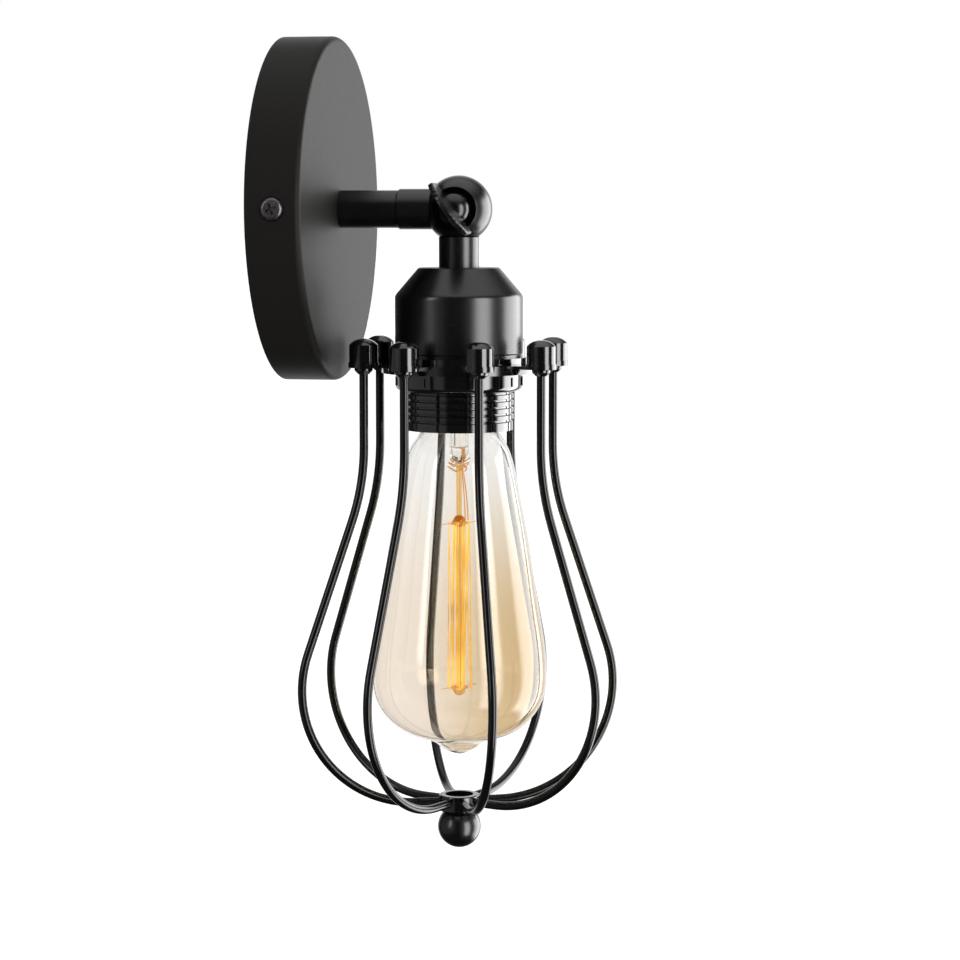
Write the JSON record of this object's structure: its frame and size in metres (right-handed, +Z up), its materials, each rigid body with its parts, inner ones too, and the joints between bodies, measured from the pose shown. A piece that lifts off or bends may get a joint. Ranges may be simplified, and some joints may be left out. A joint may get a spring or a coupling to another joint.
{
  "type": "cage wall light",
  "caption": "Black wall light: round wall plate, short arm with a ball knuckle and thumb screw, screw-base holder, and a pear-shaped wire cage round an amber filament bulb.",
  "frame": {"origin": "middle of the wall plate's back, on the wall, at the centre of the strap's two slots for wall screws", "axes": "+Y into the wall, so the arm runs out along -Y; +Z up, with the lamp hanging down at rest; X is along the knuckle's hinge, with the thumb screw on the -X side"},
  "size_m": [0.127, 0.1182, 0.2957],
  "materials": {
    "plate_paint": "semi-matte black powder coat",
    "satin_black": "satin black paint",
    "gloss_black": "glossy black enamel",
    "black_screw": "satin black with worn edges",
    "zinc_steel": "zinc plated",
    "nickel_screw": "nickel plated",
    "brass": "bright brass",
    "solder": "dull solder",
    "bakelite": "glossy black moulded plastic",
    "white_ceramic": "glazed white ceramic",
    "terminal_plastic": "natural white plastic",
    "fibre": "dark vulcanised fibre",
    "lead_live": "brown wire insulation",
    "lead_neutral": "blue wire insulation",
    "amber_glass": "clear glass with a light amber tint",
    "clear_glass": "clear glass",
    "base_insulator": "black glass",
    "filament": "glowing wire",
    "support_wire": "thin drawn wire"
  },
  "bodies": {
    "wall_side": {"canopy_cup": "plate_paint", "mounting_strap": "zinc_steel", "side_screws": "nickel_screw", "arm_nipple": "brass", "arm_nut": "zinc_steel", "arm_washer": "zinc_steel", "arm_tube": "satin_black", "earth_screw": "brass", "terminal_block": "terminal_plastic", "terminal_block_screws": "nickel_screw", "wall_lead_live": "lead_live", "wall_lead_neutral": "lead_neutral", "knuckle_arm_half": "satin_black", "friction_washer": "fibre"},
    "thumb_washer": {"thumb_washer": "black_screw"},
    "thumb_screw": {"thumb_screw": "black_screw"},
    "lamp_head": {"knuckle_lamp_half": "satin_black", "knuckle_nut": "zinc_steel", "stem_nipple": "brass", "stem_nut": "zinc_steel", "holder_cap": "satin_black", "holder_skirt": "bakelite", "holder_core": "white_ceramic", "holder_terminal_screws": "nickel_screw", "screw_shell": "brass", "centre_contact": "brass", "lamp_lead_live": "lead_live", "lamp_lead_neutral": "lead_neutral", "cage_ring": "gloss_black", "cap_nuts": "gloss_black", "lock_washers": "gloss_black", "collar_beads": "gloss_black", "cage_hub": "gloss_black", "finial_ball": "satin_black", "finial_screw": "zinc_steel", "cage_wire_1": "gloss_black", "cage_wire_2": "gloss_black", "cage_wire_3": "gloss_black", "cage_wire_4": "gloss_black", "cage_wire_5": "gloss_black", "cage_wire_6": "gloss_black", "cage_wire_7": "gloss_black", "cage_wire_8": "gloss_black"},
    "ring_washer": {"ring_washer": "fibre"},
    "shade_ring_nut": {"shade_ring_nut": "bakelite"},
    "bulb_tip": {"bulb_contact": "solder"},
    "bulb": {"bulb_glass": "amber_glass", "bulb_base": "brass", "bulb_insulator": "base_insulator", "glass_stem": "clear_glass", "support_rod": "clear_glass", "filament": "filament", "filament_hooks": "support_wire", "lead_in_wires": "support_wire"}
  },
  "joints": [
    {"name": "head_tilt", "type": "hinge", "parent": "wall_side", "child": "lamp_head", "pos_m": [0, -0.063, 0], "axis": [-1, 0, 0], "range_deg": [-2, 182]},
    {"name": "thumb_screw_travel", "type": "slide", "parent": "wall_side", "child": "thumb_washer", "axis": [-1, 0, 0], "range_m": [0, 0.0011]},
    {"name": "thumb_screw_turn", "type": "hinge", "parent": "thumb_washer", "child": "thumb_screw", "pos_m": [0, -0.063, 0], "axis": [-1, 0, 0], "range_deg": [0, 540]},
    {"name": "ring_nut_travel", "type": "slide", "parent": "lamp_head", "child": "ring_washer", "axis": [0, 0, -1], "range_m": [0, 0.0126]},
    {"name": "ring_nut_turn", "type": "hinge", "parent": "ring_washer", "child": "shade_ring_nut", "pos_m": [0, -0.063, 0], "axis": [0, 0, -1], "range_deg": [0, 1800]},
    {"name": "bulb_travel", "type": "slide", "parent": "lamp_head", "child": "bulb_tip", "axis": [0, 0, -1], "range_m": [0, 0.0109]},
    {"name": "bulb_turn", "type": "hinge", "parent": "bulb_tip", "child": "bulb", "pos_m": [0, -0.063, 0], "axis": [0, 0, -1], "range_deg": [0, 1080]}
  ],
  "couplings": [
    {"joint": "thumb_screw_travel", "follows": "thumb_screw_turn", "m_per_rad": 0.00011141},
    {"joint": "ring_nut_travel", "follows": "ring_nut_turn", "m_per_rad": 0.00039789},
    {"joint": "bulb_travel", "follows": "bulb_turn", "m_per_rad": 0.00057757}
  ]
}
